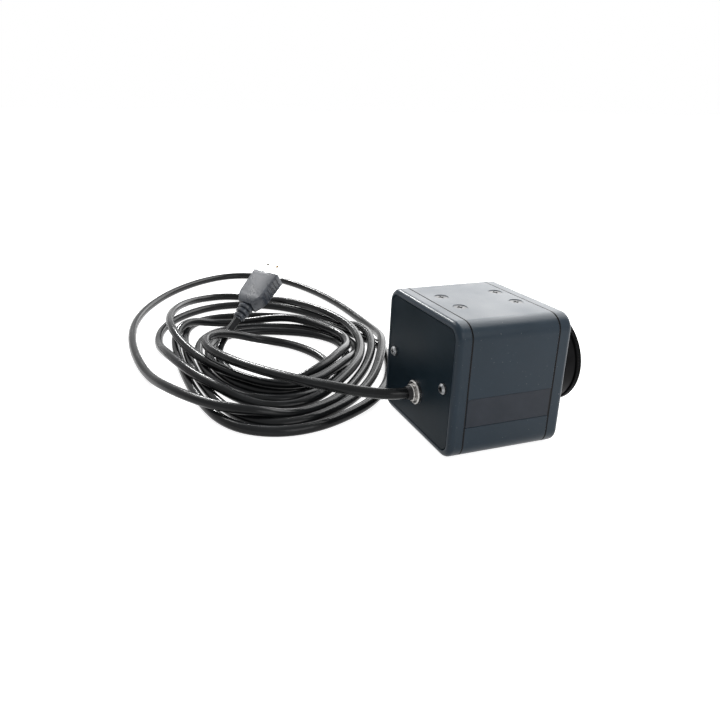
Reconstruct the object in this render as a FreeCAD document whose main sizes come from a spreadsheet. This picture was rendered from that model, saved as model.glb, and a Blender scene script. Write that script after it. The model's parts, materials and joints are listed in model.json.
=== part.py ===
import FreeCAD, Part
import math
import os

import Sketcher
from FreeCAD import Placement, Rotation, Vector

# Box camera with a C-mount, an adjustable focus ring and a fixed USB lead.
#
# Frame: the lens looks along -Y, +Z is up and Z = 0 is the surface that the camera
# stands on. The origin is the mouth of the tripod thread in the base. Millimetres.

doc = FreeCAD.newDocument("box_camera")

# ---------------------------------------------------------------- sizes

SIZES = {
    # housing
    "body_wide": 50.0,
    "body_high": 50.0,
    "body_long": 45.0,
    "corner_round": 5.9,
    "rear_deep": 5.2,           # rear bezel, along the lens axis
    "front_deep": 5.4,          # front cap, along the lens axis
    "rear_edge_round": 1.9,
    "front_edge_round": 1.9,
    "sleeve_wall": 2.0,
    "seam_bevel": 0.3,
    "fit_gap": 0.1,             # between nested housing pieces
    "bore_gap": 0.05,           # radial, round a screw or a turning spigot
    "spigot_deep": 2.0,         # cap and bezel into the sleeve
    "spigot_wall": 2.5,
    # lens mount
    "front_wall": 3.0,
    "nose_wide": 33.5,
    "nose_deep": 5.9,
    "focus_bore": 29.0,
    "ring_wide": 36.5,
    "ring_waist": 35.6,
    "ring_reach": 13.0,         # rim ahead of the front face
    "ring_gap": 0.2,            # ring's back clear of the nose
    "ring_bevel": 0.35,
    "knurl_long": 1.9,
    "ring_spigot_long": 6.6,
    "lens_bore": 24.7,          # minor diameter of the 1 inch, 32 per inch thread
    "lens_bore_deep": 4.5,
    "baffle_bore": 22.0,
    "lock_wide": 2.0,
    "lock_gap": 0.1,
    "lock_socket_wide": 1.0,
    "lock_socket_deep": 0.7,
    # rear plate, its two long screws and the cable gland
    "plate_inset": 2.4,
    "plate_round": 3.6,
    "plate_thick": 2.0,
    "plate_sunk": 0.2,
    "plate_bevel": 0.25,        # along the plate's edge and the bezel's seat
    "rear_window": 40.0,
    "rear_window_round": 2.0,
    "tie_spread": 36.0,
    "tie_wide": 2.0,
    "tie_grip": 4.0,            # depth of screw in the front cap's bosses
    "tie_floor": 1.0,           # boss left ahead of the screw's tip
    "tie_head_wide": 3.8,
    "tie_head_high": 1.3,
    "boss_wide": 3.6,
    "gland_high": 15.5,
    "gland_flange_wide": 9.0,
    "gland_flange_high": 1.4,
    "gland_collar_wide": 6.4,
    "gland_collar_high": 1.0,
    "gland_collar_bevel": 0.25,
    "gland_thread_wide": 7.0,
    "gland_thread_long": 5.2,
    "gland_bore": 5.4,
    "gland_bevel": 0.4,
    "gland_nut_wide": 9.0,      # across flats
    "gland_nut_thick": 2.0,
    "boot_reach": 1.6,          # rubber boot beyond the gland
    "boot_collar_wide": 6.8,
    "boot_collar_long": 1.5,
    "cable_wide": 4.2,
    # label band, on the -X side
    "label_low": 12.6,
    "label_high": 23.3,
    "label_deep": 0.3,
    "label_thick": 0.2,
    "label_margin": 0.15,
    # four screws in the top and four in the base
    "screw_across": 12.5,
    "screw_front_margin": 4.45, # front seam to the front pair
    "screw_rear_margin": 6.45,  # rear pair to the rear seam
    "screw_wide": 2.5,
    "screw_head_wide": 4.7,
    "screw_sunk": 0.2,
    "screw_long": 5.0,
    "recess_long": 2.4,         # cross recess, tip to tip
    "pan_recess_long": 1.9,
    "pan_bevel": 0.65,          # edge of a pan head, seen along the screw
    "recess_wide": 0.6,
    "recess_deep": 0.7,
    "nut_plate_wide": 20.0,
    "nut_plate_edge": 2.15,     # screws to the plate's ends
    "nut_plate_thick": 3.0,
    "tripod_plate_thick": 5.0,
    "tripod_boss_wide": 12.0,
    "tripod_bore": 5.1,         # minor diameter of the 1/4 inch, 20 per inch thread
    # electronics
    "flange_focus": 17.526,     # lens seat to sensor surface
    "board_wide": 32.0,
    "board_thick": 1.6,
    "board_hole_spread": 28.0,
    "board_boss_wide": 4.4,
    "board_gap": 5.0,
    "board_screw_wide": 2.0,
    "board_screw_grip": 1.8,
    "board_screw_head_wide": 3.8,
    "board_screw_head_high": 1.3,
    "die_high": 1.2,            # sensor surface above its board
    "chip_wide": 14.0,
    "chip_tall": 12.0,
    "chip_frame_high": 1.5,
    "chip_glass_inset": 1.5,
    "chip_glass_high": 0.3,
    "holder_wide": 20.0,
    "holder_wall": 1.8,
    "holder_high": 4.2,
    "holder_front": 1.6,
    "filter_wide": 14.0,
    "filter_thick": 0.7,
    "filter_ledge": 1.2,
    "processor_wide": 12.0,
    "processor_high": 1.2,
    "processor_across": -7.0,
    "processor_up": 5.5,
    "memory_wide": 8.0,
    "memory_tall": 5.0,
    "memory_high": 1.0,
    "memory_across": 8.0,
    "memory_up": 6.0,
    "memory_pitch": 7.0,
    "link_wide": 16.0,
    "link_tall": 4.0,
    "link_up": 11.5,
    "socket_wide": 10.5,
    "socket_tall": 5.0,
    "socket_deep": 5.0,
    "socket_wall": 0.8,
    "lead_plug_deep": 4.5,
    "wire_wide": 0.9,
    "wire_pitch": 1.3,
    "wire_long": 5.0,
    # USB plug, at the free end of the lead
    "plug_across": 111.6,       # middle of the overmould's rear end
    "plug_along": 61.0,
    "plug_up": 17.5,
    "plug_yaw": -56.7,
    "plug_rise": 36.9,
    "plug_roll": 3.0,
    "mould_wide": 16.2,
    "mould_rear_wide": 11.4,
    "mould_high": 8.4,
    "mould_rear_high": 7.6,
    "mould_long": 21.5,
    "mould_bevel": 0.7,
    "relief_long": 9.0,
    "relief_wide": 7.4,
    "relief_tip_wide": 6.2,
    "relief_ribs": 3,
    "relief_groove": 0.8,
    "relief_neck_long": 1.05,
    "relief_slope": 0.3,
    "shell_wide": 12.0,
    "shell_high": 4.5,
    "shell_out": 11.8,
    "shell_in": 6.0,
    "shell_wall": 0.35,
    "shell_window": 2.0,
    "shell_window_spread": 6.4,
    "shell_window_back": 5.1,   # window's near edge behind the shell's mouth
    "tongue_high": 1.9,
    "tongue_base_long": 6.5,
    "tongue_back": 0.6,         # tongue's tip behind the shell's mouth
    "contact_wide": 1.0,
    "contact_thick": 0.2,
    "contact_long": 8.5,
    "contact_outer": 3.5,       # middles of the strips from the plug's middle
    "contact_inner": 1.0,
    "contact_step": 1.0,        # inner strips shorter than the outer ones
    # lead, where it lies coiled behind the camera
    "lead_straight": 9.0,       # from the boot to the route's first bend
    "tail_straight": 9.5,       # from the strain relief to the route's bend
    "coil_across": 122.0,
    "coil_along": 52.0,
    "coil_turn": -10.0,
    "coil_half_long": 113.0,
    "coil_half_wide": 67.0,
    "coil_high": 7.8,
    "coil_bevel": 2.4,
    "coil_hole_across": 64.0,
    "coil_hole_along": 59.0,
    "coil_hole_half_long": 33.0,
    "coil_hole_half_wide": 22.0,
}

sheet = doc.addObject("Spreadsheet::Sheet", "Sizes")
for row, (alias, number) in enumerate(SIZES.items(), start=1):
    sheet.set(f"A{row}", alias)
    sheet.set(f"B{row}", str(number))
    sheet.setAlias(f"B{row}", alias)
doc.recompute()


class Size:
    """A number together with the spreadsheet expression that gives it."""

    def __init__(self, value, text=None):
        self.value = float(value)
        self.text = text or f"({self.value:.6f})"

    def _join(self, sign, other, value, swap=False):
        other = as_size(other)
        first, second = (other, self) if swap else (self, other)
        return Size(value, f"({first.text} {sign} {second.text})")

    def __add__(self, other):
        return self._join("+", other, self.value + float(other))

    def __radd__(self, other):
        return self._join("+", other, float(other) + self.value, swap=True)

    def __sub__(self, other):
        return self._join("-", other, self.value - float(other))

    def __rsub__(self, other):
        return self._join("-", other, float(other) - self.value, swap=True)

    def __mul__(self, other):
        return self._join("*", other, self.value * float(other))

    def __rmul__(self, other):
        return self._join("*", other, float(other) * self.value, swap=True)

    def __truediv__(self, other):
        return self._join("/", other, self.value / float(other))

    def __neg__(self):
        return Size(-self.value, f"(0 - {self.text})")

    def __float__(self):
        return self.value


def as_size(number):
    return number if isinstance(number, Size) else Size(number)


class Sheet:
    """Reads a cell of the spreadsheet by its alias."""

    def __getattr__(self, alias):
        return Size(sheet.get(alias), f"Sizes.{alias}")


S = Sheet()
ZERO = Size(0)

# ---------------------------------------------------------------- helpers

PLANES = {"x": ("YZ_Plane", 1), "y": ("XZ_Plane", -1), "z": ("XY_Plane", 1)}
TURNS = {"x": Rotation(Vector(0, 1, 0), 90), "y": Rotation(Vector(1, 0, 0), -90), "z": Rotation()}
FACE_AXES = {"x": "yz", "y": "xz", "z": "xy"}


def bind(item, prop, size):
    item.setExpression(prop, as_size(size).text)


def body(label, across=ZERO, up=ZERO):
    new = doc.addObject("PartDesign::Body", label)
    bind(new, "Placement.Base.x", across)
    bind(new, "Placement.Base.z", up)
    return new


def sketch(owner, name, axis, station=ZERO):
    """Empty sketch on the origin plane square to an axis, moved along it to a station."""
    role, sign = PLANES[axis]
    new = owner.newObject("Sketcher::SketchObject", name)
    planes = [item for item in owner.Origin.OriginFeatures if item.Role == role]
    new.AttachmentSupport = [(planes[0], "")]
    new.MapMode = "FlatFace"
    bind(new, "AttachmentOffset.Base.z", station * sign)
    return new


def pin_point(outline, geometry, position, point):
    """Hold a sketch point at its two distances from the sketch's origin."""
    for kind, size in zip(("DistanceX", "DistanceY"), point):
        number = outline.addConstraint(
            Sketcher.Constraint(kind, -1, 1, geometry, position, float(size)))
        bind(outline, f"Constraints[{number}]", size)


def draw_polygon(outline, points):
    spots = [Vector(float(along), float(up), 0) for along, up in points]
    count = len(points)
    first = outline.GeometryCount
    for index in range(count):
        outline.addGeometry(Part.LineSegment(spots[index], spots[(index + 1) % count]), False)
    for index, point in enumerate(points):
        following = first + (index + 1) % count
        outline.addConstraint(Sketcher.Constraint("Coincident", first + index, 2, following, 1))
        pin_point(outline, first + index, 1, point)


def draw_circle(outline, centre, radius):
    spot = Vector(float(centre[0]), float(centre[1]), 0)
    ring = outline.addGeometry(Part.Circle(spot, Vector(0, 0, 1), float(radius)), False)
    pin_point(outline, ring, 3, centre)
    number = outline.addConstraint(Sketcher.Constraint("Radius", ring, float(radius)))
    bind(outline, f"Constraints[{number}]", radius)


def draw_rounded(outline, centre, width, height, radius):
    """Rectangle with four corner arcs, each tangent to the sides beside it."""
    across, up, reach = float(centre[0]), float(centre[1]), float(radius)
    corners = [(1, 1), (-1, 1), (-1, -1), (1, -1)]
    middles = [(centre[0] + (width / 2 - radius) * side, centre[1] + (height / 2 - radius) * top)
               for side, top in corners]
    arcs = []
    for quarter, middle in enumerate(middles):
        circle = Part.Circle(Vector(float(middle[0]), float(middle[1]), 0), Vector(0, 0, 1), reach)
        start = quarter * math.pi / 2
        arcs.append(outline.addGeometry(Part.ArcOfCircle(circle, start, start + math.pi / 2), False))
    for quarter, arc in enumerate(arcs):
        following = arcs[(quarter + 1) % 4]
        start = outline.getPoint(arc, 2)
        end = outline.getPoint(following, 1)
        side = outline.addGeometry(Part.LineSegment(start, end), False)
        outline.addConstraint(Sketcher.Constraint("Tangent", arc, 2, side, 1))
        outline.addConstraint(Sketcher.Constraint("Tangent", side, 2, following, 1))
    for arc, middle in zip(arcs, middles):
        pin_point(outline, arc, 3, middle)
        number = outline.addConstraint(Sketcher.Constraint("Radius", arc, reach))
        bind(outline, f"Constraints[{number}]", radius)


def pad(owner, name, axis, span, draw):
    """Add material between two stations along an axis."""
    low, high = span
    start = low if PLANES[axis][1] > 0 else high
    outline = sketch(owner, f"{name}_outline", axis, start)
    draw(outline)
    new = owner.newObject("PartDesign::Pad", name)
    new.Profile = outline
    bind(new, "Length", high - low)
    return new


def pocket(owner, name, axis, span, draw):
    """Remove material between two stations, and check that some came away."""
    doc.recompute()
    before = owner.Shape.Volume
    low, high = span
    start = high if PLANES[axis][1] > 0 else low
    outline = sketch(owner, f"{name}_outline", axis, start)
    draw(outline)
    new = owner.newObject("PartDesign::Pocket", name)
    new.Profile = outline
    bind(new, "Length", high - low)
    doc.recompute()
    if not owner.Shape.Volume < before:
        raise RuntimeError(f"{name} removes nothing")
    return new


def turned(label, axis, profile, across=ZERO, along=ZERO, up=ZERO):
    """Body of revolution from (station, radius) points, on a line through a given spot."""
    new = body(label, across, up)
    bind(new, "Placement.Base.y", along)
    if axis == "z":
        outline = sketch(new, f"{label}_profile", "y")
        draw_polygon(outline, [(radius, station) for station, radius in profile])
    else:
        outline = sketch(new, f"{label}_profile", "x")
        draw_polygon(outline, profile)
    spin = new.newObject("PartDesign::Revolution", f"{label}_turn")
    spin.Profile = outline
    spin.ReferenceAxis = (outline, ["V_Axis" if axis == "z" else "H_Axis"])
    spin.Angle = 360
    return new


def dress(owner, kind, name, station, size, chosen):
    """Fillet or Chamfer on the edges that lie in one plane and pass a test."""
    doc.recompute()
    axis, place = station
    names = []
    for index, edge in enumerate(owner.Shape.Edges, start=1):
        flat = all(abs(getattr(spot, axis) - float(place)) < 1e-4 for spot in edge.discretize(5))
        if flat and chosen(edge):
            names.append(f"Edge{index}")
    if not names:
        raise RuntimeError(f"{name} finds no edge")
    base = owner.Tip
    new = owner.newObject(f"PartDesign::{kind}", name)
    new.Base = (base, names)
    bind(new, "Radius" if kind == "Fillet" else "Size", size)
    return new


def outline_distance(spot):
    """How far a point lies outside the housing's rounded square, negative inside."""
    reach = float(S.corner_round)
    across = abs(spot.x) - (float(S.body_wide) / 2 - reach)
    up = abs(spot.z - float(axis_up)) - (float(S.body_high) / 2 - reach)
    return math.hypot(max(across, 0), max(up, 0)) + min(max(across, up), 0) - reach


def on_outline(edge):
    return all(abs(outline_distance(spot)) < 1e-4 for spot in edge.discretize(5))


def inside_seat(edge):
    """Test for edges no farther out than the rear plate's seat."""
    box = edge.BoundBox
    reach = float(plate_opening) / 2 + 1e-3
    return max(abs(box.XMin), abs(box.XMax)) < reach and box.ZMax - float(axis_up) < reach


def is_round(radius):
    """Test for whole circles of one radius."""
    return lambda edge: edge.isClosed() and abs(edge.Length - 2 * math.pi * float(radius)) < 1e-3


def block(label, x, y, z):
    new = doc.addObject("Part::Box", label)
    for prop, axis, (low, high) in zip(("Length", "Width", "Height"), "xyz", (x, y, z)):
        bind(new, prop, high - low)
        bind(new, f"Placement.Base.{axis}", low)
    return new


def rod(label, axis, centre, span, radius):
    """Cylinder along an axis between two stations; centre gives its other two places."""
    new = doc.addObject("Part::Cylinder", label)
    new.Placement = Placement(Vector(), TURNS[axis])
    bind(new, "Radius", radius)
    bind(new, "Height", span[1] - span[0])
    bind(new, f"Placement.Base.{axis}", span[0])
    for name, place in zip(FACE_AXES[axis], centre):
        bind(new, f"Placement.Base.{name}", place)
    return new


def cut(label, base, *tools):
    new = doc.addObject("Part::Cut", label)
    new.Base = base
    new.Tool = tools[0] if len(tools) == 1 else fuse(f"{label}_tools", *tools)
    return new


def fuse(label, *items):
    new = doc.addObject("Part::MultiFuse", label)
    new.Shapes = list(items)
    return new


def together(label, items):
    """One node of several separate solids."""
    new = doc.addObject("Part::Compound", label)
    new.Links = list(items)
    return new


# ---------------------------------------------------------------- shared stations

sleeve_long = S.body_long - S.rear_deep - S.front_deep
screw_along = sleeve_long - S.screw_front_margin - S.screw_rear_margin
nut_plate_long = screw_along + S.nut_plate_edge * 2
rear_face = screw_along / 2 + S.screw_rear_margin + S.rear_deep
front_face = rear_face - S.body_long
rear_seam = rear_face - S.rear_deep
front_seam = front_face + S.front_deep
axis_up = S.body_high / 2
on_axis = (ZERO, axis_up)
AXIS = {"x": 0.0, "y": 0.0, "z": float(axis_up)}

inner_wide = S.body_wide - S.sleeve_wall * 2
inner_high = S.body_high - S.sleeve_wall * 2
inner_round = S.corner_round - S.sleeve_wall
spigot_wide = inner_wide - S.fit_gap * 2
spigot_high = inner_high - S.fit_gap * 2
spigot_round = inner_round - S.fit_gap
hollow_wide = spigot_wide - S.spigot_wall * 2
hollow_high = spigot_high - S.spigot_wall * 2
hollow_round = spigot_round - S.spigot_wall

nose_face = front_face - S.nose_deep
rim_face = front_face - S.ring_reach
sensor_plane = rim_face + S.flange_focus
sensor_board_front = sensor_plane + S.die_high
sensor_board_back = sensor_board_front + S.board_thick
usb_board_front = sensor_board_back + S.board_gap
usb_board_back = usb_board_front + S.board_thick
wall_back = front_face + S.front_wall

plate_back = rear_face - S.plate_sunk
plate_front = plate_back - S.plate_thick
plate_opening = S.body_wide - S.plate_inset * 2
lock_station = front_face - S.nose_deep / 2

tie_end = wall_back + S.tie_grip + S.tie_floor
tie_spots = [(S.tie_spread / 2 * side, axis_up) for side in (-1, 1)]
board_spots = [(S.board_hole_spread / 2 * side, axis_up + S.board_hole_spread / 2 * top)
               for side in (-1, 1) for top in (-1, 1)]
plan_spots = [(S.screw_across / 2 * side, screw_along / 2 * end)
              for side in (-1, 1) for end in (-1, 1)]
screw_hole = S.screw_wide / 2 + S.bore_gap
countersink = (S.screw_head_wide - S.screw_wide) / 2 + S.screw_sunk


def rounded(centre, width, height, radius):
    """Drawing of a rounded rectangle, for pad and pocket."""
    return lambda outline: draw_rounded(outline, centre, width, height, radius)


def circle(centre, radius):
    return lambda outline: draw_circle(outline, centre, radius)


def polygon(points):
    return lambda outline: draw_polygon(outline, points)


def rectangle(first, second):
    """Drawing of a plain rectangle from its (low, high) pairs."""
    (left, right), (low, high) = first, second
    return polygon([(left, low), (right, low), (right, high), (left, high)])


def cross(centre, length, width):
    """Drawing of a cross recess."""
    far, near = length / 2, width / 2
    corners = [(far, near), (near, near), (near, far), (-near, far), (-near, near), (-far, near),
               (-far, -near), (-near, -near), (-near, -far), (near, -far), (near, -near), (far, -near)]
    return polygon([(centre[0] + along, centre[1] + up) for along, up in corners])


# ---------------------------------------------------------------- housing


def front_cap():
    """One casting: rounded front, threaded nose for the ring, spigot and screw bosses."""
    cap = body("front_cap")
    spigot_end = front_seam + S.spigot_deep
    pad(cap, "cap_front", "y", (front_face, front_seam),
        rounded(on_axis, S.body_wide, S.body_high, S.corner_round))
    dress(cap, "Fillet", "cap_front_round", ("y", front_face), S.front_edge_round, on_outline)
    dress(cap, "Chamfer", "cap_seam_bevel", ("y", front_seam), S.seam_bevel, on_outline)
    pad(cap, "cap_spigot", "y", (front_seam, spigot_end),
        rounded(on_axis, spigot_wide, spigot_high, spigot_round))
    pocket(cap, "cap_hollow", "y", (wall_back, spigot_end),
           rounded(on_axis, hollow_wide, hollow_high, hollow_round))
    pad(cap, "cap_nose", "y", (nose_face, front_face), circle(on_axis, S.nose_wide / 2))
    for number, spot in enumerate(tie_spots):
        pad(cap, f"tie_boss_{number}", "y", (wall_back, tie_end), circle(spot, S.boss_wide / 2))
    for number, spot in enumerate(board_spots):
        pad(cap, f"board_boss_{number}", "y", (wall_back, sensor_board_front),
            circle(spot, S.board_boss_wide / 2))
    pocket(cap, "focus_bore", "y", (nose_face, wall_back), circle(on_axis, S.focus_bore / 2))
    for number, spot in enumerate(tie_spots):
        pocket(cap, f"tie_hole_{number}", "y", (tie_end - S.tie_grip, tie_end),
               circle(spot, S.tie_wide / 2 + S.bore_gap))
    grip = S.board_screw_grip + S.bore_gap
    for number, spot in enumerate(board_spots):
        pocket(cap, f"board_hole_{number}", "y", (sensor_board_front - grip, sensor_board_front),
               circle(spot, S.board_screw_wide / 2 + S.bore_gap))
    pocket(cap, "lock_hole", "x", (ZERO, S.nose_wide / 2),
           circle((lock_station, axis_up), S.lock_wide / 2 + S.bore_gap))
    return cap


def back_focus_ring():
    """Turned ring: thread for the lens inside, grip band at the rim, spigot into the nose."""
    back = nose_face - S.ring_gap
    spigot = S.focus_bore / 2 - S.bore_gap
    end = back + S.ring_spigot_long
    return turned("back_focus_ring", "y", [
        (rim_face, S.lens_bore / 2),
        (rim_face, S.ring_wide / 2 - S.ring_bevel),
        (rim_face + S.ring_bevel, S.ring_wide / 2),
        (rim_face + S.knurl_long, S.ring_wide / 2),
        (rim_face + S.knurl_long + S.ring_bevel, S.ring_waist / 2),
        (back, S.ring_waist / 2),
        (back, spigot),
        (end, spigot),
        (end, S.baffle_bore / 2),
        (rim_face + S.lens_bore_deep, S.baffle_bore / 2),
        (rim_face + S.lens_bore_deep, S.lens_bore / 2),
    ], up=axis_up)


def ring_lock_screw():
    """Headless screw in the nose that holds the focus ring, with a hexagon socket."""
    tip = S.focus_bore / 2 + S.lock_gap
    top = S.nose_wide / 2 - S.lock_gap
    grub = body("ring_lock_screw")
    spot = (lock_station, axis_up)
    pad(grub, "lock_shank", "x", (tip, top), circle(spot, S.lock_wide / 2))
    pocket(grub, "lock_socket", "x", (top - S.lock_socket_deep, top),
           hexagon(spot, S.lock_socket_wide))
    return grub


def hexagon(centre, across_flats):
    """Drawing of a regular hexagon."""
    reach = across_flats / math.sqrt(3)
    turns = [math.radians(60 * step) for step in range(6)]
    return polygon([(centre[0] + reach * math.cos(turn), centre[1] + reach * math.sin(turn))
                    for turn in turns])


def body_sleeve():
    """Extruded sleeve with the label band's recess, screw holes and the tripod boss's hole."""
    sleeve = body("body_sleeve")
    length = (front_seam, rear_seam)
    pad(sleeve, "sleeve_outside", "y", length,
        rounded(on_axis, S.body_wide, S.body_high, S.corner_round))
    for name, station in (("front", front_seam), ("rear", rear_seam)):
        dress(sleeve, "Chamfer", f"sleeve_{name}_bevel", ("y", station), S.seam_bevel, on_outline)
    pocket(sleeve, "sleeve_inside", "y", length,
           rounded(on_axis, inner_wide, inner_high, inner_round))
    pocket(sleeve, "label_recess", "x", (-S.body_wide / 2, -S.body_wide / 2 + S.label_deep),
           rectangle(length, (S.label_low, S.label_high)))
    for number, spot in enumerate(plan_spots):
        pocket(sleeve, f"top_hole_{number}", "z", (S.body_high - S.sleeve_wall, S.body_high),
               circle(spot, screw_hole))
        pocket(sleeve, f"base_hole_{number}", "z", (ZERO, S.sleeve_wall), circle(spot, screw_hole))
    for name, station in (("top", S.body_high), ("base", ZERO)):
        dress(sleeve, "Chamfer", f"{name}_countersinks", ("z", station), countersink,
              is_round(screw_hole))
    pocket(sleeve, "tripod_hole", "z", (ZERO, S.sleeve_wall),
           circle((ZERO, ZERO), S.tripod_boss_wide / 2 + S.bore_gap))
    return sleeve


def label_strip():
    floor = S.label_deep - S.body_wide / 2
    return block("label_strip", (floor - S.label_thick, floor),
                 (front_seam + S.seam_bevel + S.label_margin, rear_seam - S.seam_bevel - S.label_margin),
                 (S.label_low + S.label_margin, S.label_high - S.label_margin))


def rear_bezel():
    """Frame behind the sleeve: spigot, seat for the rear plate and a window for the boards."""
    bezel = body("rear_bezel")
    spigot_end = rear_seam - S.spigot_deep
    pad(bezel, "bezel_frame", "y", (rear_seam, rear_face),
        rounded(on_axis, S.body_wide, S.body_high, S.corner_round))
    dress(bezel, "Fillet", "bezel_rear_round", ("y", rear_face), S.rear_edge_round, on_outline)
    dress(bezel, "Chamfer", "bezel_seam_bevel", ("y", rear_seam), S.seam_bevel, on_outline)
    pad(bezel, "bezel_spigot", "y", (spigot_end, rear_seam),
        rounded(on_axis, spigot_wide, spigot_high, spigot_round))
    pocket(bezel, "plate_seat", "y", (plate_front, rear_face),
           rounded(on_axis, plate_opening, plate_opening, S.plate_round))
    dress(bezel, "Chamfer", "seat_bevel", ("y", rear_face), S.plate_bevel, inside_seat)
    pocket(bezel, "bezel_window", "y", (spigot_end, plate_front),
           rounded(on_axis, S.rear_window, S.rear_window, S.rear_window_round))
    return bezel


def rear_plate():
    plate = body("rear_plate")
    span = (plate_front, plate_back)
    size = plate_opening - S.fit_gap * 2
    pad(plate, "plate_sheet", "y", span, rounded(on_axis, size, size, S.plate_round - S.fit_gap))
    dress(plate, "Chamfer", "plate_edge_bevel", ("y", plate_back), S.plate_bevel, inside_seat)
    for number, spot in enumerate(tie_spots):
        pocket(plate, f"plate_tie_hole_{number}", "y", span,
               circle(spot, S.tie_wide / 2 + S.bore_gap))
    pocket(plate, "gland_hole", "y", span,
           circle((ZERO, S.gland_high), S.gland_thread_wide / 2 + S.bore_gap))
    return plate


# ---------------------------------------------------------------- screws


def pan_screw(label, spot, seat, tip, shank, head_wide, head_high):
    """Screw along +Y with a domed head on its seat and a cross recess."""
    top = seat + head_high
    new = turned(label, "y", [
        (tip, ZERO), (tip, shank / 2), (seat, shank / 2), (seat, head_wide / 2),
        (seat + head_high / 2, head_wide / 2), (top, head_wide / 2 - S.pan_bevel), (top, ZERO),
    ], across=spot[0], up=spot[1])
    pocket(new, f"{label}_recess", "y", (top - S.recess_deep, top),
           cross((ZERO, ZERO), S.pan_recess_long, S.recess_wide))
    return new


def flat_screw(label, spot, face, inward):
    """Countersunk screw from a face, inward up (1) or down (-1), with a cross recess."""
    head = face + S.screw_sunk * inward
    head_radius, radius = S.screw_head_wide / 2, S.screw_wide / 2
    new = turned(label, "z", [
        (head, ZERO), (head, head_radius), (head + (head_radius - radius) * inward, radius),
        (head + S.screw_long * inward, radius), (head + S.screw_long * inward, ZERO),
    ], across=spot[0], along=spot[1])
    floor = head + S.recess_deep * inward
    pocket(new, f"{label}_recess", "z", (floor, head) if inward < 0 else (head, floor),
           cross((ZERO, ZERO), S.recess_long, S.recess_wide))
    return new


def rear_plate_screws():
    """Two long screws that clamp plate, bezel and sleeve to the front cap."""
    tip = tie_end - S.tie_grip + S.bore_gap
    return together("rear_plate_screws", [
        pan_screw(f"tie_screw_{number}", spot, plate_back, tip, S.tie_wide,
                  S.tie_head_wide, S.tie_head_high)
        for number, spot in enumerate(tie_spots)])


def board_screws():
    tip = sensor_board_front - S.board_screw_grip
    return together("board_screws", [
        pan_screw(f"board_screw_{number}", spot, usb_board_back, tip, S.board_screw_wide,
                  S.board_screw_head_wide, S.board_screw_head_high)
        for number, spot in enumerate(board_spots)])


def face_screws(label, face, inward):
    return together(label, [flat_screw(f"{label}_{number}", spot, face, inward)
                            for number, spot in enumerate(plan_spots)])


def nut_plate(label, low, high):
    """Plate inside the sleeve with four screw holes."""
    plate = body(label)
    pad(plate, f"{label}_sheet", "z", (low, high), rectangle(
        (-S.nut_plate_wide / 2, S.nut_plate_wide / 2), (-nut_plate_long / 2, nut_plate_long / 2)))
    for number, spot in enumerate(plan_spots):
        pocket(plate, f"{label}_hole_{number}", "z", (low, high), circle(spot, screw_hole))
    return plate


def tripod_plate():
    """Nut plate with a boss through the base, threaded for a tripod."""
    top = S.sleeve_wall + S.tripod_plate_thick
    plate = nut_plate("tripod_plate", S.sleeve_wall, top)
    pad(plate, "tripod_boss", "z", (ZERO, S.sleeve_wall), circle((ZERO, ZERO), S.tripod_boss_wide / 2))
    pocket(plate, "tripod_bore", "z", (ZERO, top), circle((ZERO, ZERO), S.tripod_bore / 2))
    return plate


# ---------------------------------------------------------------- gland and inner lead

bushing_end = plate_back - S.gland_thread_long
flange_top = plate_back + S.gland_flange_high
gland_top = flange_top + S.gland_collar_high
boot_end = gland_top + S.boot_reach
boot_start = bushing_end - S.boot_collar_long
gland_spot = (ZERO, S.gland_high)
socket_back = usb_board_back + S.socket_deep
lead_plug_front = usb_board_back + S.socket_wall
lead_plug_back = lead_plug_front + S.lead_plug_deep
jacket_start = lead_plug_back + S.wire_long


def gland_bushing():
    """Threaded bushing with a flange on the rear plate and a collar round the cable."""
    bore, thread = S.gland_bore / 2, S.gland_thread_wide / 2
    flange, collar = S.gland_flange_wide / 2, S.gland_collar_wide / 2
    return turned("gland_bushing", "y", [
        (bushing_end, bore), (bushing_end, thread), (plate_back, thread), (plate_back, flange),
        (flange_top - S.gland_bevel, flange), (flange_top, flange - S.gland_bevel),
        (flange_top, collar), (gland_top - S.gland_collar_bevel, collar),
        (gland_top, collar - S.gland_collar_bevel), (gland_top, bore),
    ], up=S.gland_high)


def gland_nut():
    nut = body("gland_nut")
    span = (plate_front - S.gland_nut_thick, plate_front)
    pad(nut, "nut_hexagon", "y", span, hexagon(gland_spot, S.gland_nut_wide))
    pocket(nut, "nut_bore", "y", span, circle(gland_spot, S.gland_thread_wide / 2 + S.bore_gap))
    return nut


def cable_boot():
    """Rubber boot moulded round the cable, held in the gland by its collar."""
    sleeve, collar = S.gland_bore / 2 - S.bore_gap, S.boot_collar_wide / 2
    return turned("cable_boot", "y", [
        (boot_start, ZERO), (boot_start, collar), (bushing_end, collar), (bushing_end, sleeve),
        (gland_top, sleeve), (boot_end, (sleeve + S.cable_wide / 2) / 2), (boot_end, ZERO),
    ], up=S.gland_high)


def lead_socket():
    """Open-backed connector on the USB board."""
    half, tall = S.socket_wide / 2, S.socket_tall / 2
    socket = body("lead_socket")
    pad(socket, "socket_shell", "y", (usb_board_back, socket_back), rectangle(
        (-half, half), (S.gland_high - tall, S.gland_high + tall)))
    pocket(socket, "socket_opening", "y", (lead_plug_front, socket_back), rectangle(
        (S.socket_wall - half, half - S.socket_wall),
        (S.gland_high - tall + S.socket_wall, S.gland_high + tall - S.socket_wall)))
    return socket


def lead_plug():
    half = S.socket_wide / 2 - S.socket_wall - S.bore_gap
    tall = S.socket_tall / 2 - S.socket_wall - S.bore_gap
    return block("lead_plug", (-half, half), (lead_plug_front, lead_plug_back),
                 (S.gland_high - tall, S.gland_high + tall))


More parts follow.
